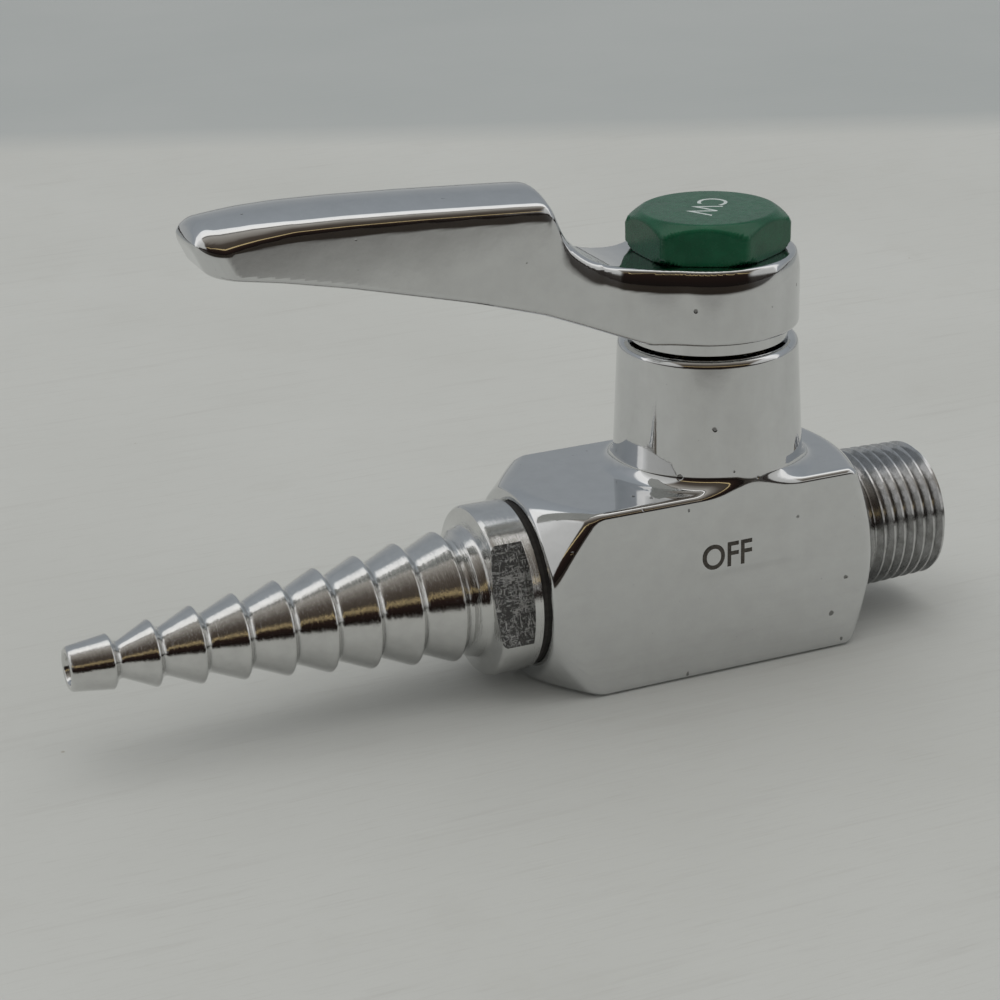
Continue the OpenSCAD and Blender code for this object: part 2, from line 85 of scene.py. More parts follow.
def body_shape(p):
    x, y, z = p.T
    out = np.hypot(y, z - AXIS_Z)
    bar = np.maximum(z - BODY_TOP, -z)
    left = (out - NOZZLE_FACE_R - NOZZLE_CONE * (x - NOZZLE_FACE_X)) / math.hypot(1, NOZZLE_CONE)
    right = (out - INLET_FACE_R - INLET_CONE * (INLET_FACE_X - x)) / math.hypot(1, INLET_CONE)
    cones = np.maximum(left, right)
    block = round_cut(bar, cones, 1.0)
    block = round_cut(block, np.abs(y) - HALF_W, 0.9)
    block = round_cut(block, np.maximum(NOZZLE_FACE_X - x, x - INLET_FACE_X), 0.25)
    up = np.hypot(x, y)
    taper = (NECK_FOOT_R - NECK_TOP_R) / (NECK_TOP_Z - BODY_TOP)
    neck = (up - NECK_FOOT_R + taper * (z - BODY_TOP)) / math.hypot(1, taper)
    neck = np.maximum(round_cut(neck, z - NECK_TOP_Z, 0.8), 14 - z)
    whole = round_join(block, neck, 1.7)
    whole = round_cut(whole, np.abs(y) - HALF_W, 0.3)
    whole = bored(whole, np.maximum(out - 8.6, x + 8.4))
    whole = bored(whole, np.maximum(out - 8.0, np.maximum(-8.7 - x, x - 9.5)))
    whole = bored(whole, np.maximum(out - INLET_BORE_R, 9 - x))
    whole = bored(whole, np.maximum(up - 4.05, 12 - z))
    return bored(whole, np.maximum(up - 7.0, 29 - z))


def smooth_line(points, spread):
    """Height along X through the given points, with its corners softened."""
    xs, zs = np.array(points).T
    fine = np.arange(xs.min() - 6, xs.max() + 6, 0.05)
    line = np.interp(fine, xs, zs)
    reach = np.arange(-4 * spread, 4 * spread + 0.01, 0.05)
    weight = np.exp(-0.5 * (reach / spread) ** 2)
    soft = np.convolve(np.pad(line, len(reach) // 2, mode="edge"), weight / weight.sum(), "valid")[: len(fine)]
    slope = np.gradient(soft, fine)
    return lambda x: (np.interp(x, fine, soft), np.interp(x, fine, slope))


ARM_BACK = smooth_line([
    (-70, 57.0), (-65.5, 59.2), (-64, 59.7), (-62.2, 60.35), (-59.5, 60.7), (-56, 61.0), (-52, 61.1), (-46, 60.95),
    (-38, 60.55), (-30, 60.05), (-25.5, 59.75), (-23.4, 59.6), (-22.3, 59.4), (-21.7, 58.1), (-21.2, 56.6),
    (-20.6, 55.3), (-19.6, 53.9), (-18.5, 52.6), (-17.3, 51.4), (-16.2, 50.6), (-15, 50.1), (-13.2, 49.65), (-11, 49.3),
    (-9, HUB_TOP), (20, HUB_TOP)], 0.45)
ARM_UNDER = smooth_line([
    (-70, 57.0), (-65, 55.75), (-63, 55.25), (-61, 54.85), (-53.7, 53.55), (-46.2, 51.9),
    (-38.6, 49.95), (-31.3, 48.05), (-23.2, 45.55), (-18, 43.4), (-14.9, 42.05), (-12.3, 40.95), (-10.4, HUB_LOW),
    (20, HUB_LOW)], 0.5)


def lever_plan(x, y):
    y = np.abs(y)
    cy = ARM_HALF_W + ARM_FILLET
    cx = math.sqrt((HUB_R + ARM_FILLET) ** 2 - cy ** 2)
    hub = np.hypot(x, y) - HUB_R
    waist = ARM_FILLET - np.hypot(x + cx, y - cy)
    corner = 3.0
    qx, qy = ARM_TIP_X - x + corner, y - ARM_HALF_W + corner
    arm = np.hypot(np.maximum(qx, 0), np.maximum(qy, 0)) + np.minimum(np.maximum(qx, qy), 0) - corner
    in_waist = (cx * (y - cy) + cy * (x + cx)) < 0
    return np.where(x < -cx, arm, np.where(in_waist, waist, hub))


def lever_shape(p):
    x, y, z = p.T
    lean = 0.45 * np.clip(58.5 - z, 0, 4) * (x < -50)
    plan = lever_plan(x - lean, y)
    back, back_slope = ARM_BACK(x)
    under, under_slope = ARM_UNDER(x)
    crown = 1.5 * np.clip((-16 - x) / 4, 0, 1) * np.clip(np.abs(y) / ARM_HALF_W, 0, 1.2) ** 2
    top = (z - back + crown) / np.sqrt(1 + back_slope ** 2)
    low = (under - z) / np.sqrt(1 + under_slope ** 2)
    edge = np.interp(x, [-63, -58, -52, -24, -14, -10], [2.3, 1.5, 0.9, 0.7, 0.5, 0.35])
    tilt = math.radians(19)
    depth = np.interp(x, [-22, -14], [0.45, 1.4])
    bevel = math.cos(tilt) * plan + math.sin(tilt) * (top + depth)
    arm = round_cut(round_cut(round_cut(plan, bevel, 0.4), top, edge), low, 0.55)
    up = np.hypot(x, y)
    arm = bored(arm, np.maximum(up - 6.8, 44.35 - z))
    return bored(arm, np.maximum(np.maximum(np.abs(x), np.abs(y)) - 2.85, z - 46))


def button_shape(p):
    x, y, z = p.T
    turn = math.radians(30)
    flat_r = BUTTON_CORNER_R * math.cos(turn)
    sides = [x * math.cos(a) + y * math.sin(a) - flat_r for a in (0, math.radians(60), math.radians(120))]
    sides += [-x * math.cos(a) - y * math.sin(a) - flat_r for a in (0, math.radians(60), math.radians(120))]
    hexagon = sides[0]
    for s in sides[1:]:
        hexagon = round_cut(hexagon, s, 0.35)
    up = np.hypot(x, y)
    slope = (BUTTON_CORNER_R - BUTTON_TOP_R) / 1.42
    cone = (up - BUTTON_TOP_R - slope * (BUTTON_TOP - z)) / math.hypot(1, slope)
    head = round_cut(round_cut(hexagon, cone, 0.18), z - BUTTON_TOP, 0.15)
    head = round_cut(head, BUTTON_LOW - z, 0.2)
    spigot = np.maximum(np.maximum(up - 6.65, 46 - z), z - 50)
    whole = np.minimum(head, spigot)
    return bored(whole, np.maximum(up - 4.8, z - 52))


# Mesh tools
def lathe(points, steps, axis="X"):
    """Closed turned blank from [along, radius] points."""
    bm = bmesh.new()
    verts = [bm.verts.new((a, 0, r) if axis == "X" else (r, 0, a)) for a, r in points]
    edges = [bm.edges.new(pair) for pair in zip(verts, verts[1:])]
    turn = Vector((1, 0, 0)) if axis == "X" else Vector((0, 0, 1))
    bmesh.ops.spin(bm, geom=verts + edges, cent=(0, 0, 0), axis=turn, dvec=(0, 0, 0),
                   angle=math.tau, steps=steps, use_merge=True, use_duplicate=False)
    bmesh.ops.remove_doubles(bm, verts=bm.verts, dist=1e-4)
    bmesh.ops.dissolve_degenerate(bm, edges=bm.edges, dist=1e-4)
    bmesh.ops.recalc_face_normals(bm, faces=bm.faces)
    if axis == "X":
        bmesh.ops.translate(bm, verts=bm.verts, vec=(0, 0, AXIS_Z))
    return bm


def block(low, high):
    bm = bmesh.new()
    bmesh.ops.create_cube(bm, size=1)
    size = Vector(high) - Vector(low)
    bmesh.ops.scale(bm, vec=size, verts=bm.verts)
    bmesh.ops.translate(bm, vec=(Vector(high) + Vector(low)) / 2, verts=bm.verts)
    return bm


def to_object(bm, name, scale=1.0):
    mesh = bpy.data.meshes.new(name)
    if scale != 1.0:
        bmesh.ops.scale(bm, vec=(scale,) * 3, verts=bm.verts)
    bm.to_mesh(mesh)
    bm.free()
    obj = bpy.data.objects.new(name, mesh)
    bpy.context.scene.collection.objects.link(obj)
    return obj


def baked(obj):
    """Puts an object's modifiers into its mesh."""
    graph = bpy.context.evaluated_depsgraph_get()
    mesh = bpy.data.meshes.new_from_object(obj.evaluated_get(graph))
    obj.modifiers.clear()
    old = obj.data
    obj.data = mesh
    bpy.data.meshes.remove(old)
    mesh.materials.clear()
    mesh.name = obj.name
    return obj


def cut_or_join(obj, tools, operation):
    for bm in tools:
        tool = to_object(bm, "tool")
        mod = obj.modifiers.new("cut", "BOOLEAN")
        mod.operation = operation
        mod.solver = "MANIFOLD"
        mod.object = tool
        baked(obj)
        mesh = tool.data
        bpy.data.objects.remove(tool)
        bpy.data.meshes.remove(mesh)
    return obj


def carved(name, blanks, holes, shape, cell, trim=None, rounds=3):
    """Even skin over joined blanks, less their holes, drawn on to the exact rounded shape."""
    obj = to_object(blanks[0], name)
    if trim is not None:
        cut_or_join(obj, [trim], "INTERSECT")
    cut_or_join(obj, blanks[1:], "UNION")
    cut_or_join(obj, holes, "DIFFERENCE")
    mod = obj.modifiers.new("skin", "REMESH")
    mod.mode = "VOXEL"
    mod.voxel_size = cell
    baked(obj)
    mesh = obj.data
    place = np.empty(len(mesh.vertices) * 3)
    mesh.vertices.foreach_get("co", place)
    place = place.reshape(-1, 3)
    step = 0.04

    def slope(p):
        return np.stack([shape(p + d) - shape(p - d) for d in np.eye(3) * step], 1) / (2 * step)

    def settle(p, times):
        for _ in range(times):
            g = slope(p)
            move = shape(p) / np.maximum((g * g).sum(1), 0.2)
            p = p - np.clip(move, -0.4, 0.4)[:, None] * g
        return p

    place = settle(place, 4)
    for _ in range(rounds):
        mesh.vertices.foreach_set("co", place.ravel())
        bm = bmesh.new()
        bm.from_mesh(mesh)
        bmesh.ops.smooth_vert(bm, verts=bm.verts, factor=0.5, use_axis_x=True, use_axis_y=True, use_axis_z=True)
        bm.to_mesh(mesh)
        bm.free()
        mesh.vertices.foreach_get("co", place.reshape(-1))
        place = settle(place, 2)
    normal = slope(place)
    normal /= np.maximum(np.linalg.norm(normal, axis=1), 1e-6)[:, None]
    mesh.vertices.foreach_set("co", (place * MM).ravel())
    mesh.update()
    mesh.shade_smooth()
    mesh.normals_split_custom_set_from_vertices(normal)
    return obj


def lay_smooth(obj, angle=30):
    mesh = obj.data
    mesh.shade_smooth()
    mesh.set_sharp_from_angle(angle=math.radians(angle))
    return obj


# Materials
class Paint:
    """Small helper that lays out one material's nodes."""

    def __init__(self, name):
        self.material = bpy.data.materials.new(name)
        self.material.use_nodes = True
        self.tree = self.material.node_tree
        self.tree.nodes.clear()
        out = self.add("ShaderNodeOutputMaterial")
        self.skin = self.add("ShaderNodeBsdfPrincipled")
        self.tree.links.new(self.skin.outputs[0], out.inputs["Surface"])
        self.place = self.add("ShaderNodeTexCoord").outputs["Object"]
        self.bump_to = None

    def add(self, kind, **values):
        node = self.tree.nodes.new(kind)
        for key, value in values.items():
            setattr(node, key, value)
        return node

    def link(self, a, b):
        self.tree.links.new(a, b)

    def mapped(self, scale=(1000, 1000, 1000), turn=(0, 0, 0), shift=(0, 0, 0)):
        node = self.add("ShaderNodeMapping")
        node.inputs["Scale"].default_value = scale
        node.inputs["Rotation"].default_value = turn
        node.inputs["Location"].default_value = shift
        self.link(self.place, node.inputs["Vector"])
        return node.outputs[0]

    def noise(self, where, scale, detail=3.0, rough=0.5, distortion=0.0):
        node = self.add("ShaderNodeTexNoise")
        node.inputs["Scale"].default_value = scale
        node.inputs["Detail"].default_value = detail
        node.inputs["Roughness"].default_value = rough
        node.inputs["Distortion"].default_value = distortion
        self.link(where, node.inputs["Vector"])
        return node.outputs["Fac"]

    def cells(self, where, scale, feature="F1", randomness=1.0):
        node = self.add("ShaderNodeTexVoronoi", feature=feature)
        node.inputs["Scale"].default_value = scale
        node.inputs["Randomness"].default_value = randomness
        self.link(where, node.inputs["Vector"])
        return node.outputs["Distance"]

    def span(self, value, low, high, to_low=0.0, to_high=1.0):
        node = self.add("ShaderNodeMapRange")
        node.clamp = True
        for key, number in zip(("From Min", "From Max", "To Min", "To Max"), (low, high, to_low, to_high)):
            node.inputs[key].default_value = number
        self.link(value, node.inputs["Value"])
        return node.outputs["Result"]

    def maths(self, operation, a, b=None):
        node = self.add("ShaderNodeMath", operation=operation)
        for socket, value in zip(node.inputs, (a, b)):
            if value is None:
                continue
            if isinstance(value, (int, float)):
                socket.default_value = value
            else:
                self.link(value, socket)
        return node.outputs[0]

    def mix(self, share, a, b):
        node = self.add("ShaderNodeMix", data_type="RGBA")
        for key, value in (("Factor", share), ("A", a), ("B", b)):
            socket = next(s for s in node.inputs if s.name == key and (s.type == "RGBA") == (key != "Factor"))
            if isinstance(value, tuple):
                socket.default_value = (*value, 1.0)
            elif isinstance(value, (int, float)):
                socket.default_value = value
            else:
                self.link(value, socket)
        return next(s for s in node.outputs if s.type == "RGBA")

    def bump(self, height, strength, depth_mm):
        node = self.add("ShaderNodeBump")
        node.inputs["Strength"].default_value = strength
        node.inputs["Distance"].default_value = depth_mm * MM
        self.link(height, node.inputs["Height"])
        if self.bump_to is not None:
            self.link(self.bump_to, node.inputs["Normal"])
        self.bump_to = node.outputs[0]
        self.link(self.bump_to, self.skin.inputs["Normal"])

    def put(self, key, value):
        socket = self.skin.inputs[key]
        if isinstance(value, tuple):
            socket.default_value = (*value, 1.0)
        elif isinstance(value, (int, float)):
            socket.default_value = value
        else:
            self.link(value, socket)

    def split(self, where):
        node = self.add("ShaderNodeSeparateXYZ")
        self.link(where, node.inputs[0])
        return node.outputs


def polished_chrome(name, tint=(0.675, 0.68, 0.68), rough=0.035, pits=1.0, seed=0.0):
    """Plated and polished metal: faint waviness, handling smears and a few pits."""
    m = Paint(name)
    at = m.mapped(shift=(seed, seed * 0.7, seed * 1.3))
    m.put("Metallic", 1.0)
    smear = m.noise(at, 0.16, 4, 0.6)
    grit = m.noise(at, 2.2, 2, 0.5)
    smeared = m.span(smear, 0.42, 0.75, rough, rough + 0.07)
    m.put("Roughness", m.maths("ADD", smeared, m.span(grit, 0.5, 0.8, 0, 0.03)))
    spots = m.cells(at, 0.33)
    size = m.noise(at, 0.9, 1, 0.5)
    pit = m.span(m.maths("SUBTRACT", spots, m.span(size, 0.45, 0.75, 0.0, 0.16 * pits)), -0.02, 0.02, 1, 0)
    fine = m.span(m.cells(at, 1.3), 0.03, 0.09, 1, 0)
    fine = m.maths("MULTIPLY", fine, m.span(m.noise(at, 0.35, 2, 0.5), 0.56, 0.66))
    cloud = m.mix(m.span(m.noise(at, 0.4, 5, 0.65), 0.35, 0.75), tint, tuple(c * 0.93 for c in tint))
    dark = m.mix(m.maths("MULTIPLY", fine, 0.6), cloud, (0.16, 0.155, 0.15))
    m.put("Base Color", m.mix(m.maths("MULTIPLY", pit, 0.75), dark, (0.10, 0.095, 0.09)))
    m.bump(m.noise(at, 0.09, 2, 0.4), 0.35, 0.10)
    m.bump(m.noise(at, 0.55, 3, 0.5), 0.22, 0.018)
    m.bump(m.maths("SUBTRACT", 1.0, pit), 0.5, 0.05)
    return m.material


def turned_chrome(name, tint=(0.68, 0.68, 0.67), rough=0.055):
    """Plated metal with the lathe's marks left round the flow axis."""
    m = Paint(name)
    at = m.mapped()
    along = m.mapped(scale=(1000, 90, 90))
    ring = m.noise(along, 3.2, 4, 0.7)
    fine_ring = m.noise(along, 9.0, 3, 0.7)
    m.put("Metallic", 1.0)
    m.put("Base Color", m.mix(m.span(m.noise(at, 0.5, 4, 0.6), 0.4, 0.75), tint, tuple(c * 0.9 for c in tint)))
    m.put("Roughness", m.span(ring, 0.35, 0.7, rough * 0.7, rough * 1.7))
    m.bump(ring, 0.9, 0.075)
    m.bump(fine_ring, 0.5, 0.014)
    m.bump(m.noise(at, 1.2, 3, 0.6), 0.3, 0.02)
    return m.material


def sawn_flat(name):
    """Rough flat under its plating: short crossing ridges, smooth again near one edge, with painted highlights on the
    ridge crests and painted shade in the hollows.
    """
    m = Paint(name)
    at = m.mapped()
    ridges = m.noise(at, 1.7, 4, 0.75, 3.0)
    wire_a = m.noise(m.mapped(scale=(1000, 320, 330), turn=(0.2, 0, 0.5)), 2.2, 3, 0.7, 1.2)
    wire_b = m.noise(m.mapped(scale=(330, 1000, 900), turn=(0.7, 0, 0.2)), 2.4, 3, 0.7, 1.2)
    height = m.maths("ADD", m.maths("MULTIPLY", ridges, 0.35), m.maths("MAXIMUM", wire_a, wire_b))
    low = m.split(m.mapped())[2]
    rough_part = m.span(low, 5.2, 5.8)
    m.put("Metallic", 1.0)
    m.put("Roughness", m.span(rough_part, 0, 1, 0.12, 0.3))
    # Base colour follows the ridge height: painted highlight on the crests, painted shade in the hollows between them
    m.put("Base Color", m.mix(m.span(height, 0.70, 0.80), (0.13, 0.13, 0.13), (0.66, 0.66, 0.66)))
    m.bump(m.maths("MULTIPLY", height, rough_part), 1.0, 0.55)
    return m.material


def thread_chrome(name):
    m = Paint(name)
    at = m.mapped()
    m.put("Metallic", 1.0)
    grime = m.noise(at, 0.8, 5, 0.7)
    m.put("Base Color", m.mix(m.span(grime, 0.45, 0.72), (0.56, 0.56, 0.56), (0.36, 0.36, 0.35)))
    m.put("Roughness", m.span(grime, 0.3, 0.75, 0.07, 0.2))
    m.bump(m.noise(m.mapped(scale=(1000, 250, 250)), 5.0, 3, 0.7), 0.5, 0.02)
    m.bump(m.noise(at, 2.5, 4, 0.7), 0.4, 0.03)
    return m.material


def moulded_green(name):
    m = Paint(name)
    at = m.mapped()
    blotch = m.noise(at, 0.35, 4, 0.6)
    m.put("Base Color", m.mix(m.span(blotch, 0.35, 0.7), (0.003, 0.060, 0.026), (0.006, 0.085, 0.038)))
    m.put("Roughness", m.span(m.noise(at, 1.1, 4, 0.6), 0.35, 0.75, 0.20, 0.36))
    m.put("Specular IOR Level", 0.36)
    scratch = m.noise(m.mapped(scale=(1000, 120, 1000), turn=(0, 0, 0.6)), 1.6, 3, 0.6)
    m.bump(m.span(scratch, 0.6, 0.75), 0.15, 0.02)
    m.bump(m.noise(at, 0.5, 4, 0.6), 0.3, 0.06)
    return m.material


def engraved(name, dark, light, rough=0.5, metal=0.0):
    m = Paint(name)
    at = m.mapped()
    m.put("Metallic", metal)
    m.put("Base Color", m.mix(m.span(m.noise(at, 3.5, 4, 0.7), 0.35, 0.72), dark, light))
    m.put("Roughness", rough)
    m.bump(m.noise(at, 6, 3, 0.6), 0.4, 0.02)
    return m.material


def worked_metal(name, tint, shade, rough, scale=1.2):
    """Plain machined metal for the parts inside."""
    m = Paint(name)
    at = m.mapped()
    m.put("Metallic", 1.0)
    m.put("Base Color", m.mix(m.span(m.noise(at, scale, 5, 0.65), 0.35, 0.72), tint, shade))
    m.put("Roughness", m.span(m.noise(at, scale * 2, 3, 0.6), 0.3, 0.7, rough * 0.7, rough * 1.4))
    m.bump(m.noise(m.mapped(scale=(250, 250, 1000)), 4.0, 3, 0.7), 0.4, 0.02)
    return m.material


def dull_stuff(name, tint, shade, rough, scale=1.5):
    """Rubber, fibre and plain white plastic."""
    m = Paint(name)
    at = m.mapped()
    m.put("Base Color", m.mix(m.span(m.noise(at, scale, 5, 0.65), 0.35, 0.72), tint, shade))
    m.put("Roughness", m.span(m.noise(at, scale * 2, 3, 0.6), 0.3, 0.7, rough * 0.85, rough * 1.15))
    m.bump(m.noise(at, scale * 4, 4, 0.6), 0.35, 0.03)
    return m.material


def painted_table(name):
    """Worn white boards, with the darker wall past the far edge, and a painted dark reflection past the near edge."""
    m = Paint(name)
    at = m.mapped()
    grain_at = m.mapped(turn=(0, 0, math.radians(24)), scale=(60, 1000, 1000))
    grain = m.noise(grain_at, 0.55, 5, 0.6, 0.4)
    fine = m.noise(grain_at, 2.6, 3, 0.6)
    patch = m.noise(at, 0.012, 4, 0.55)
    worn = m.noise(at, 0.05, 5, 0.65)
    base = m.mix(m.span(patch, 0.35, 0.7), (0.515, 0.52, 0.50), (0.48, 0.484, 0.462))
    base = m.mix(m.span(worn, 0.58, 0.8, 0, 0.35), base, (0.43, 0.425, 0.395))
    base = m.mix(m.span(grain, 0.56, 0.72, 0, 0.3), base, (0.41, 0.405, 0.385))
    base = m.mix(m.span(fine, 0.55, 0.8, 0, 0.45), base, (0.41, 0.405, 0.38))
    speck = m.span(m.cells(at, 0.075), 0.012, 0.022, 0.7, 0.0)
    speck = m.maths("MULTIPLY", speck, m.span(m.noise(at, 0.03, 2, 0.5), 0.5, 0.6))
    base = m.mix(speck, base, (0.30, 0.27, 0.22))
    far = m.add("ShaderNodeVectorMath", operation="DOT_PRODUCT")
    m.link(at, far.inputs[0])
    far.inputs[1].default_value = (0.411, 0.912, 0)
    past = m.span(far.outputs["Value"], 266, 288)
    wall = m.mix(m.span(m.noise(at, 0.006, 4, 0.6), 0.3, 0.7), (0.37, 0.39, 0.386), (0.41, 0.425, 0.42))
    base = m.mix(past, base, wall)
    # Past the near edge, glossy rays see the boards painted near black: a painted dark reflection standing in for the
    # shaded room on the camera side
    near = m.add("ShaderNodeVectorMath", operation="DOT_PRODUCT")
    m.link(at, near.inputs[0])
    near.inputs[1].default_value = (-0.385, -0.923, 0)
    mirrored = m.add("ShaderNodeLightPath").outputs["Is Glossy Ray"]
    unlit = m.maths("MULTIPLY", m.span(near.outputs["Value"], 150, 215), mirrored)
    m.put("Base Color", m.mix(unlit, base, (0.02, 0.015, 0.012)))
    m.put("Roughness", 0.55)
    m.put("Specular IOR Level", 0.3)
    m.bump(grain, 0.3, 0.3)
    m.bump(m.noise(at, 0.35, 4, 0.6), 0.12, 0.12)
    return m.material


# Pieces
def make_body():
    reach = 17.5
    left_run = (reach - NOZZLE_FACE_R) / NOZZLE_CONE
    right_run = (reach - INLET_FACE_R) / INLET_CONE
    blank = lathe([(NOZZLE_FACE_X, 0), (NOZZLE_FACE_X, NOZZLE_FACE_R), (NOZZLE_FACE_X + left_run, reach),
                   (INLET_FACE_X - right_run, reach), (INLET_FACE_X, INLET_FACE_R), (INLET_FACE_X, 0)], 64)
    trim = block((NOZZLE_FACE_X - 1, -HALF_W, 0), (INLET_FACE_X + 1, HALF_W, BODY_TOP))
    neck = lathe([(14, 0), (14, NECK_FOOT_R), (NECK_TOP_Z, NECK_TOP_R), (NECK_TOP_Z, 0)], 64, "Z")
    stem_hole = lathe([(12.3, 0), (12.3, 4.05), (29, 4.05), (29, 7.0), (40, 7.0), (40, 0)], 44, "Z")
    off_seam = Matrix.Rotation(math.radians(3.1), 3, "Z")
    bmesh.ops.rotate(stem_hole, verts=stem_hole.verts, cent=(0, 0, 0), matrix=off_seam)
    holes = [
        lathe([(-30, 0), (-30, 8.6), (-8.4, 8.6), (-8.4, 8.0), (9.5, 8.0), (9.5, INLET_BORE_R), (20, INLET_BORE_R),
               (20, 0)], 48),
        stem_hole,
    ]
    return carved("valve_body_forging", [blank, neck], holes, body_shape, 0.36, trim)


def make_lever():
    arm = block((ARM_TIP_X, -ARM_HALF_W, 40), (-2, ARM_HALF_W, 62))
    bmesh.ops.subdivide_edges(arm, edges=[e for e in arm.edges if abs(e.verts[0].co.x - e.verts[1].co.x) > 1],
                              cuts=60, use_grid_fill=True)
    for v in arm.verts:
        line = ARM_BACK if v.co.z > 50 else ARM_UNDER
        v.co.z = float(line(v.co.x)[0])
        waist = lever_plan(np.array([v.co.x]), np.array([ARM_HALF_W]))[0]
        if v.co.x > -14.4 and waist < 0:
            v.co.y *= 1 - min(waist, 0) / ARM_HALF_W * 0.9
    hub = lathe([(HUB_LOW, 0), (HUB_LOW, HUB_R), (HUB_TOP, HUB_R), (HUB_TOP, 0)], 64, "Z")
    holes = [
        lathe([(44.35, 0), (44.35, 6.8), (52, 6.8), (52, 0)], 48, "Z"),
        block((-2.85, -2.85, 38), (2.85, 2.85, 46)),
    ]
    return carved("lever_casting", [hub, arm], holes, lever_shape, 0.33)


def make_button():
    blank = bmesh.new()
    bmesh.ops.create_cone(blank, cap_ends=True, segments=6, radius1=BUTTON_CORNER_R, radius2=BUTTON_CORNER_R,
                          depth=BUTTON_TOP - BUTTON_LOW)
    bmesh.ops.translate(blank, verts=blank.verts, vec=(0, 0, (BUTTON_TOP + BUTTON_LOW) / 2))
    bmesh.ops.rotate(blank, verts=blank.verts, cent=(0, 0, 0), matrix=Matrix.Rotation(math.radians(30), 3, "Z"))
    spigot = lathe([(46, 0), (46, 6.65), (50, 6.65), (50, 0)], 48, "Z")
    hollow = lathe([(44, 0), (44, 4.8), (52, 4.8), (52, 0)], 48, "Z")
    return carved("button_cap", [blank, spigot], [hollow], button_shape, 0.24)


def barb_outline():
    """Serrated outline from the tip to the collar: [along, radius]."""
    crests = [(-74.92, 3.19), (-69.96, 3.86), (-64.90, 4.50), (-59.90, 4.99), (-54.80, 5.54), (-49.87, 6.10),
              (-44.85, 6.64), (-39.87, 7.20), (-34.86, 7.72)]
    line = [(-79.35, 2.62)]
    for x, r in crests:
        line += [(x - 0.30, r - 0.03), (x - 0.12, r), (x, r - 0.03), (x + 0.14, r - 0.16),
                 (x + 0.55, r - 0.80), (x + 0.80, r - 1.0), (x + 1.08, r - 1.05), (x + 1.35, r - 0.98)]
    return line


def make_nozzle():
    collar_r = 10.2
    outline = [(-15.6, 3.5), (-15.6, 8.3), (-15.9, 8.55), (-25.95, 8.55), (-26.1, 8.7), (-26.1, collar_r - 0.25),
               (-26.35, collar_r), (-30.65, collar_r), (-30.95, collar_r - 0.08), (-31.2, collar_r - 0.3),
               (-31.62, 8.05), (-31.8, 7.78), (-32.1, 7.66), (-32.9, 7.55)]
    outline += list(reversed(barb_outline()))
    outline += [(-79.62, 2.52), (-79.78, 2.32), (-79.8, 2.1), (-79.72, 1.85), (-79.4, 1.62), (-78.5, 1.6),
                (-50.5, 1.6), (-49.6, 3.5), (-15.6, 3.5)]
    obj = to_object(lathe(outline, 160), "nozzle_turning")
    tools = []
    for side in (-1, 1):
        cutter = block((-31.9, 8.22, -12), (-27.4, 14, 12))
        if side < 0:
            bmesh.ops.scale(cutter, vec=(1, -1, 1), verts=cutter.verts)
            bmesh.ops.reverse_faces(cutter, faces=cutter.faces)
        turn = Matrix.Rotation(math.radians(-15), 3, "X")
        bmesh.ops.rotate(cutter, verts=cutter.verts, cent=(0, 0, 0), matrix=turn)
        bmesh.ops.translate(cutter, verts=cutter.verts, vec=(0, 0, AXIS_Z))
        tools.append(cutter)
    cut_or_join(obj, tools, "DIFFERENCE")
    tip = Vector((0, math.cos(math.radians(15)), -math.sin(math.radians(15))))
    bm = bmesh.new()
    bm.from_mesh(obj.data)
    bmesh.ops.scale(bm, vec=(MM,) * 3, verts=bm.verts)
    bm.normal_update()
    for f in bm.faces:
        f.material_index = 1 if abs(f.normal.dot(tip)) > 0.999 and f.calc_area() > 1e-6 else 0
    bm.to_mesh(obj.data)
    bm.free()
    return lay_smooth(obj, 35)


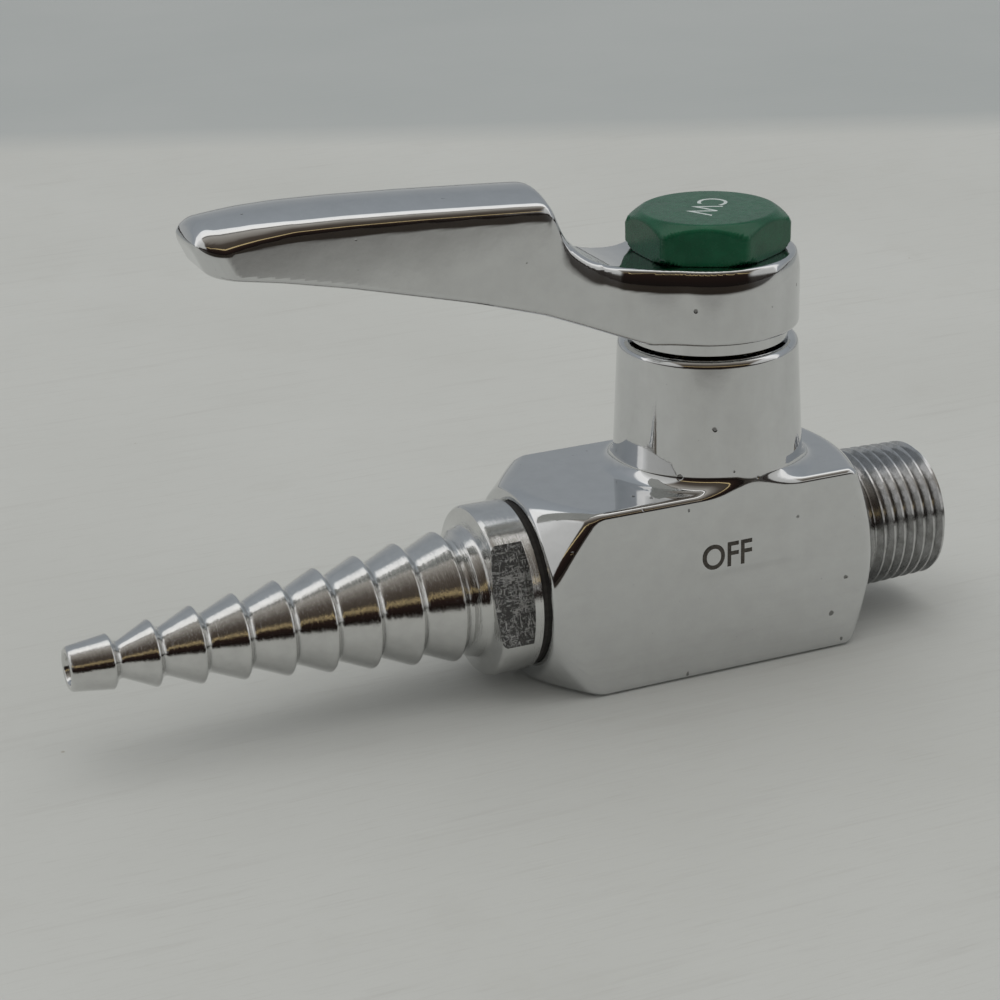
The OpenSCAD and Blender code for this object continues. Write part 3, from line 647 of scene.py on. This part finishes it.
def make_thread():
    """Taper pipe thread: one pitch of outline wound along the flow axis, then trimmed and closed."""
    start, turns = INLET_FACE_X - 2.0 * THREAD_PITCH, 12
    root = THREAD_R - THREAD_DEPTH
    bm = bmesh.new()
    outline = [(0.0, root), (0.12, root), (0.56, THREAD_R), (0.80, THREAD_R), (1.26, root), (THREAD_PITCH, root)]
    verts = [bm.verts.new((start + a, 0, r)) for a, r in outline]
    edges = [bm.edges.new(pair) for pair in zip(verts, verts[1:])]
    steps = 72
    bmesh.ops.spin(bm, geom=verts + edges, cent=(0, 0, 0), axis=(1, 0, 0), dvec=(THREAD_PITCH / steps, 0, 0),
                   angle=math.tau * turns, steps=steps * turns, use_merge=False, use_duplicate=False)
    bmesh.ops.remove_doubles(bm, verts=bm.verts, dist=0.002)
    for v in bm.verts:
        out = math.hypot(v.co.y, v.co.z)
        taper = (24.0 - v.co.x) / 32
        lead = THREAD_R - 0.72 + (THREAD_END_X - v.co.x) * 1.0
        runout = root + max(0.0, v.co.x - INLET_FACE_X - 0.5) * 0.75 + 0.25
        want = min(out + taper, lead, max(runout, root))
        v.co.y, v.co.z = v.co.y * want / out, v.co.z * want / out
    for x, way in ((THREAD_END_X, 1), (INLET_FACE_X - 0.4, -1)):
        cut = bmesh.ops.bisect_plane(bm, geom=bm.verts[:] + bm.edges[:] + bm.faces[:],
                                     plane_co=(x, 0, 0), plane_no=(way, 0, 0), clear_outer=True)
        rim = [e for e in cut["geom_cut"] if isinstance(e, bmesh.types.BMEdge)]
        for radius, shift in ((INLET_BORE_R + 0.5, 0.0), (INLET_BORE_R, -0.5 * way)):
            grown = bmesh.ops.extrude_edge_only(bm, edges=rim)["geom"]
            for v in (g for g in grown if isinstance(g, bmesh.types.BMVert)):
                out = math.hypot(v.co.y, v.co.z)
                v.co = (v.co.x + shift, v.co.y * radius / out, v.co.z * radius / out)
            rim = [g for g in grown if isinstance(g, bmesh.types.BMEdge)]
        if way > 0:
            front_rim = rim
        else:
            bmesh.ops.bridge_loops(bm, edges=front_rim + rim)
    bmesh.ops.recalc_face_normals(bm, faces=bm.faces)
    bmesh.ops.translate(bm, verts=bm.verts, vec=(0, 0, AXIS_Z))
    return lay_smooth(to_object(bm, "inlet_thread_cut", MM), 28)


def lettering(name, words, size, weight, matrix, thick):
    curve = bpy.data.curves.new(name, "FONT")
    curve.body = words
    curve.size = size
    curve.align_x, curve.align_y = "CENTER", "CENTER"
    curve.offset = weight
    curve.extrude = thick
    curve.resolution_u = 6
    text = bpy.data.objects.new(name + "_line", curve)
    bpy.context.scene.collection.objects.link(text)
    graph = bpy.context.evaluated_depsgraph_get()
    mesh = bpy.data.meshes.new_from_object(text.evaluated_get(graph))
    bpy.data.objects.remove(text)
    mesh.transform(Matrix.Scale(MM, 4) @ matrix @ Matrix.Diagonal((0.88, 1, 1, 1)))
    mesh.name = name
    obj = bpy.data.objects.new(name, mesh)
    bpy.context.scene.collection.objects.link(obj)
    return obj


def make_off_mark():
    facing = Matrix.Translation((-3.3, -HALF_W + 0.006, 14.95)) @ Matrix.Rotation(math.radians(90), 4, "X")
    return lettering("off_mark", "OFF", 4.3, 0.07, facing, 0.008)


def make_service_letters():
    facing = Matrix.Translation((0.0, 0.6, BUTTON_TOP + 0.002)) @ Matrix.Rotation(math.radians(-135), 4, "Z")
    return lettering("service_letters", "CW", 5.1, -0.02, facing, 0.008)


# Put together
chrome_body = polished_chrome("body plating", pits=1.0, seed=3.0)
chrome_lever = polished_chrome("lever plating", pits=0.8, seed=41.0)
chrome_turned = turned_chrome("nozzle plating")
chrome_sawn = sawn_flat("sawn flat")
chrome_thread = thread_chrome("thread plating")
green = moulded_green("green moulding")
ink = engraved("etched mark", (0.035, 0.03, 0.025), (0.10, 0.09, 0.075), 0.55, 0.3)
silver = engraved("engraved lines", (0.45, 0.52, 0.50), (0.75, 0.78, 0.76), 0.35, 0.2)
brass = worked_metal("machined brass", (0.72, 0.52, 0.22), (0.55, 0.38, 0.15), 0.28)
dark_steel = worked_metal("darkened steel", (0.10, 0.095, 0.09), (0.05, 0.047, 0.045), 0.3)
plain_steel = worked_metal("plain steel", (0.52, 0.52, 0.53), (0.38, 0.38, 0.39), 0.25)
ball_plating = polished_chrome("ball plating", pits=0.2, seed=90.0)
white_plastic = dull_stuff("white sealing plastic", (0.80, 0.79, 0.75), (0.70, 0.69, 0.64), 0.45)
black_rubber = dull_stuff("seal rubber", (0.020, 0.020, 0.020), (0.035, 0.034, 0.033), 0.6)
dark_fibre = dull_stuff("gasket fibre", (0.045, 0.040, 0.036), (0.02, 0.018, 0.016), 0.6)


def place_piece(obj, materials, body, node):
    for material in materials:
        obj.data.materials.append(material)
    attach(obj, body)
    if node:
        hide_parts(node)
    return obj


place_piece(make_body(), [chrome_body], "valve_body", "body")
place_piece(make_thread(), [chrome_thread], "valve_body", "body")
place_piece(make_nozzle(), [chrome_turned, chrome_sawn], "valve_body", "hose_nozzle")
place_piece(make_lever(), [chrome_lever], "lever_and_ball", "lever")
place_piece(make_button(), [green], "lever_and_ball", "index_button")
place_piece(make_off_mark(), [ink], "valve_body", None)
place_piece(make_service_letters(), [silver], "lever_and_ball", None)

FINISHES = {
    "nozzle_gasket": dark_fibre, "seat_retainer": brass, "retainer_o_ring": black_rubber,
    "outlet_seat": white_plastic, "inlet_seat": white_plastic, "inlet_backing_ring": black_rubber,
    "stop_pin": dark_steel, "thrust_washer": white_plastic, "packing_base_ring": white_plastic,
    "lower_packing_ring": white_plastic, "upper_packing_ring": white_plastic, "gland_follower": brass,
    "gland_nut": brass, "ball": ball_plating, "stem": brass, "lower_stem_o_ring": black_rubber,
    "upper_stem_o_ring": black_rubber, "stop_collar": ball_plating, "lock_washer": plain_steel,
    "lever_screw": plain_steel,
}
for node_name, finish in FINISHES.items():
    node_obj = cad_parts[node_name]
    for index in range(len(node_obj.material_slots)):
        node_obj.material_slots[index].material = finish


# Surroundings
def make_table():
    bm = bmesh.new()
    bmesh.ops.create_grid(bm, x_segments=1, y_segments=1, size=2500)
    bmesh.ops.translate(bm, verts=bm.verts, vec=(0, 0, -0.02))
    table = to_object(bm, "table", MM)
    table.data.materials.append(painted_table("painted table"))
    return table


def make_world():
    world = bpy.data.worlds.new("room")
    bpy.context.scene.world = world
    world.use_nodes = True
    tree = world.node_tree
    tree.nodes.clear()
    link = tree.links.new

    def add(kind, **values):
        node = tree.nodes.new(kind)
        for key, value in values.items():
            setattr(node, key, value)
        return node

    def maths(operation, a, b=None):
        node = add("ShaderNodeMath", operation=operation)
        for socket, value in zip(node.inputs, (a, b)):
            if isinstance(value, (int, float)):
                socket.default_value = value
            elif value is not None:
                link(value, socket)
        return node.outputs[0]

    def dot(way):
        node = add("ShaderNodeVectorMath", operation="DOT_PRODUCT")
        link(where, node.inputs[0])
        node.inputs[1].default_value = way
        return node.outputs["Value"]

    def ramp(value, stops):
        node = add("ShaderNodeValToRGB")
        node.color_ramp.interpolation = "LINEAR"
        marks = node.color_ramp.elements
        while len(marks) < len(stops):
            marks.new(0.5)
        for mark, (at, colour) in zip(marks, stops):
            mark.position = at / 180
            mark.color = (*colour, 1.0)
        link(value, node.inputs[0])
        return node.outputs[0]

    def mix(share, a, b):
        node = add("ShaderNodeMix", data_type="RGBA")
        for key, value in (("Factor", share), ("A", a), ("B", b)):
            socket = next(s for s in node.inputs if s.name == key and (s.type == "RGBA") == (key != "Factor"))
            if isinstance(value, tuple):
                socket.default_value = (*value, 1.0)
            elif isinstance(value, (int, float)):
                socket.default_value = value
            else:
                link(value, socket)
        return next(s for s in node.outputs if s.type == "RGBA")

    where = add("ShaderNodeTexCoord").outputs["Generated"]
    a = math.radians(CAMERA_AZIMUTH)
    towards = dot((math.sin(a), -math.cos(a), 0))
    across = dot((math.cos(a), math.sin(a), 0))
    height = dot((0, 0, 1))
    rise = maths("MULTIPLY", maths("ARCTAN2", height, towards), 1 / math.pi)
    middle = ramp(rise, [
        (0, (0.010, 0.008, 0.007)), (14, (0.020, 0.012, 0.010)), (24.0, (0.032, 0.022, 0.017)),
        (25.8, (0.75, 0.58, 0.30)), (27.0, (0.75, 0.58, 0.30)), (29.5, (0.060, 0.048, 0.036)),
        (50, (0.085, 0.07, 0.058)), (70, (0.25, 0.23, 0.205)), (84, (0.42, 0.40, 0.37)), (88, (0.10, 0.09, 0.08)),
        (91, (1.15, 1.13, 1.10)), (114, (1.05, 1.06, 1.07)), (118, (0.36, 0.39, 0.42)), (150, (0.31, 0.335, 0.36)),
        (166, (0.34, 0.36, 0.375)), (180, (0.42, 0.43, 0.43))])
    sides = ramp(rise, [
        (0, (0.03, 0.026, 0.024)), (9, (0.05, 0.045, 0.04)), (15, (0.52, 0.52, 0.51)), (60, (0.62, 0.62, 0.61)),
        (84, (0.9, 0.9, 0.9)), (88, (1.05, 1.04, 1.03)), (112, (1.0, 1.0, 1.0)), (118, (0.38, 0.40, 0.43)),
        (150, (0.32, 0.345, 0.37)), (180, (0.42, 0.43, 0.43))])
    edge = maths("MAXIMUM", across, maths("SUBTRACT", 0.17, across))
    share = add("ShaderNodeMapRange", clamp=True, interpolation_type="SMOOTHSTEP")
    link(edge, share.inputs["Value"])
    share.inputs["From Min"].default_value = 0.70
    share.inputs["From Max"].default_value = 0.80
    room = mix(share.outputs["Result"], middle, sides)
    kind = add("ShaderNodeLightPath").outputs
    lit = mix(kind["Is Diffuse Ray"], room, (0.62, 0.625, 0.62))
    seen = mix(kind["Is Camera Ray"], lit, (0.40, 0.415, 0.41))
    back = add("ShaderNodeBackground")
    link(seen, back.inputs["Color"])
    back.inputs["Strength"].default_value = 1.0
    link(back.outputs[0], add("ShaderNodeOutputWorld").inputs["Surface"])


def make_lights():
    a = math.radians(CAMERA_AZIMUTH)
    for name, size, place, power in (
        ("ceiling panel", (1700, 1200), (-80, 200, 1000), 4.7),
    ):
        data = bpy.data.lights.new(name, "AREA")
        data.shape = "RECTANGLE"
        data.size, data.size_y = size[0] * MM, size[1] * MM
        data.energy = power
        data.color = (1.0, 0.99, 0.97)
        light = bpy.data.objects.new(name, data)
        light.location = Matrix.Rotation(a, 3, "Z") @ Vector(place) * MM
        light.rotation_euler = (0, 0, a)
        light.visible_glossy = False
        bpy.context.scene.collection.objects.link(light)


def make_camera():
    data = bpy.data.cameras.new("camera")
    data.lens, data.sensor_width = CAMERA_LENS, 36
    data.clip_start, data.clip_end = 0.01, 20
    camera = bpy.data.objects.new("camera", data)
    a, e, r = (math.radians(v) for v in (CAMERA_AZIMUTH, CAMERA_ELEVATION, CAMERA_ROLL))
    back = Vector((math.sin(a) * math.cos(e), -math.cos(a) * math.cos(e), math.sin(e)))
    right = Vector((math.cos(a), math.sin(a), 0))
    up = back.cross(right)
    right, up = right * math.cos(r) + up * math.sin(r), up * math.cos(r) - right * math.sin(r)
    turn = Matrix((right, up, back)).transposed().to_4x4()
    camera.matrix_world = Matrix.Translation(Vector(CAMERA_PLACE) * MM) @ turn
    bpy.context.scene.collection.objects.link(camera)
    bpy.context.scene.camera = camera


make_table()
make_world()
make_lights()
make_camera()
view = bpy.context.scene.view_settings
view.view_transform = "Standard"
view.look = "None"
view.exposure = 0.0
view.gamma = 1.0
